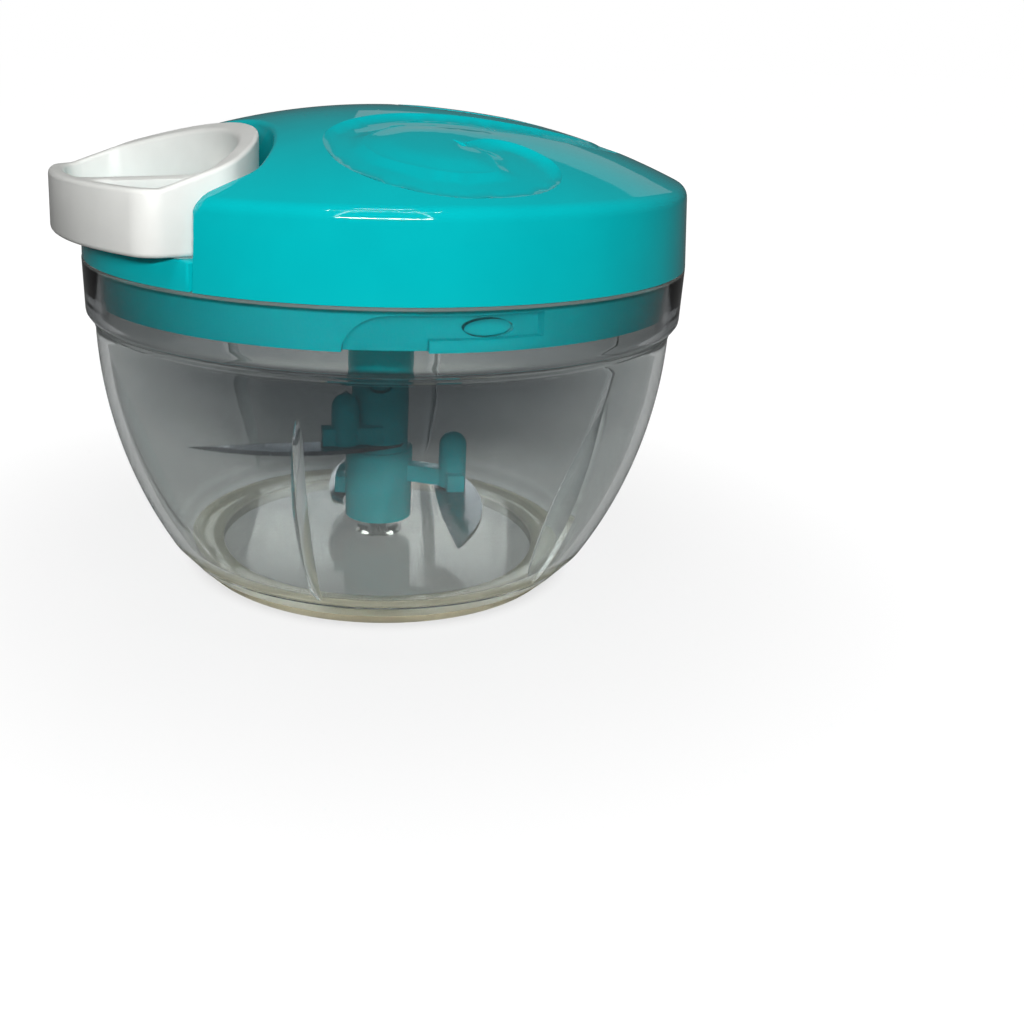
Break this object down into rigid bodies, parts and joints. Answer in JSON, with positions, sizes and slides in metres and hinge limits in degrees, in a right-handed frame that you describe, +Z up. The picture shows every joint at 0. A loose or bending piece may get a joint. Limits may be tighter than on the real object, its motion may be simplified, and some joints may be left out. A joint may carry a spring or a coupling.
{
  "type": "pull-cord food chopper",
  "caption": "Round clear bowl with a domed locking lid; pulling the handle in the lid unwinds a cord that spins a blade unit inside the bowl.",
  "frame": {"origin": "on the table, on the axis of bowl, lid and blades", "axes": "+Z up along that axis; the handle is pulled along -X, and the XZ plane mirrors lid and handle"},
  "size_m": [0.1308, 0.125, 0.0976],
  "materials": {
    "teal_plastic": "glossy injection-moulded ABS",
    "clear_plastic": "clear smoky moulded styrene acrylonitrile",
    "white_plastic": "satin white moulded ABS",
    "acetal": "natural acetal, as moulded",
    "grip_rubber": "soft thermoplastic rubber, matt",
    "blade_steel": "ground stainless steel",
    "fastener_steel": "zinc-plated steel",
    "spring_steel": "blued spring strip",
    "cord_fibre": "braided polyester cord"
  },
  "bodies": {
    "bowl": {"bowl": "clear_plastic", "bowl_pin": "fastener_steel", "anti_slip_ring": "grip_rubber"},
    "lift": {"thrust_washer": "acetal"},
    "lid": {"lid_cover": "teal_plastic", "medallion": "white_plastic", "lid_base": "teal_plastic", "lid_screws": "fastener_steel", "cord_eyelet": "white_plastic", "shaft_bush": "acetal", "spool_washer": "fastener_steel", "spool_screw": "fastener_steel", "cord_lead": "cord_fibre"},
    "handle": {"handle": "white_plastic", "cord_knot": "cord_fibre"},
    "spool": {"spool": "acetal", "spring_cover": "acetal", "power_spring": "spring_steel", "cord_winding": "cord_fibre"},
    "pawl_a": {"pawl_a": "acetal"},
    "pawl_b": {"pawl_b": "acetal"},
    "drive": {"drive_shaft": "teal_plastic", "shaft_clip": "spring_steel"},
    "blades": {"blade_hub": "teal_plastic", "blade_upper": "blade_steel", "blade_middle": "blade_steel", "blade_lower": "blade_steel", "blade_rivets": "fastener_steel"}
  },
  "joints": [
    {"name": "lid_lift", "type": "slide", "parent": "bowl", "child": "lift", "axis": [0, 0, 1], "range_m": [0, 0.07]},
    {"name": "lid_turn", "type": "hinge", "parent": "lift", "child": "lid", "pos_m": [0, 0, 0.0673], "axis": [0, 0, 1], "range_deg": [0, 16.6]},
    {"name": "handle_pull", "type": "slide", "parent": "lid", "child": "handle", "axis": [-1, 0, 0], "range_m": [0, 0.3], "stiffness_N_per_m": 8, "springref_m": -0.08, "deforming": ["cord_lead"]},
    {"name": "spool_spin", "type": "hinge", "parent": "lid", "child": "spool", "pos_m": [0, 0, 0.0823], "axis": [0, 0, 1], "range_deg": [0, 960], "deforming": ["power_spring"]},
    {"name": "drive_spin", "type": "hinge", "parent": "lift", "child": "drive", "pos_m": [0, 0, 0.0673], "axis": [0, 0, 1], "range_deg": [0, 960]},
    {"name": "blade_spin", "type": "hinge", "parent": "bowl", "child": "blades", "pos_m": [0, 0, 0.03], "axis": [0, 0, 1], "range_deg": [0, 960]},
    {"name": "pawl_a_swing", "type": "hinge", "parent": "spool", "child": "pawl_a", "pos_m": [0.0096, 0, 0.073], "axis": [0, 0, 1], "range_deg": [0, 8]},
    {"name": "pawl_b_swing", "type": "hinge", "parent": "spool", "child": "pawl_b", "pos_m": [-0.0096, 0, 0.073], "axis": [0, 0, 1], "range_deg": [0, 8]}
  ],
  "couplings": [
    {"joint": "spool_spin", "follows": "handle_pull", "rad_per_m": 55.71},
    {"joint": "drive_spin", "follows": "handle_pull", "rad_per_m": 55.71},
    {"joint": "blade_spin", "follows": "handle_pull", "rad_per_m": 55.71},
    {"joint": "pawl_b_swing", "follows": "pawl_a_swing", "ratio": 1}
  ]
}
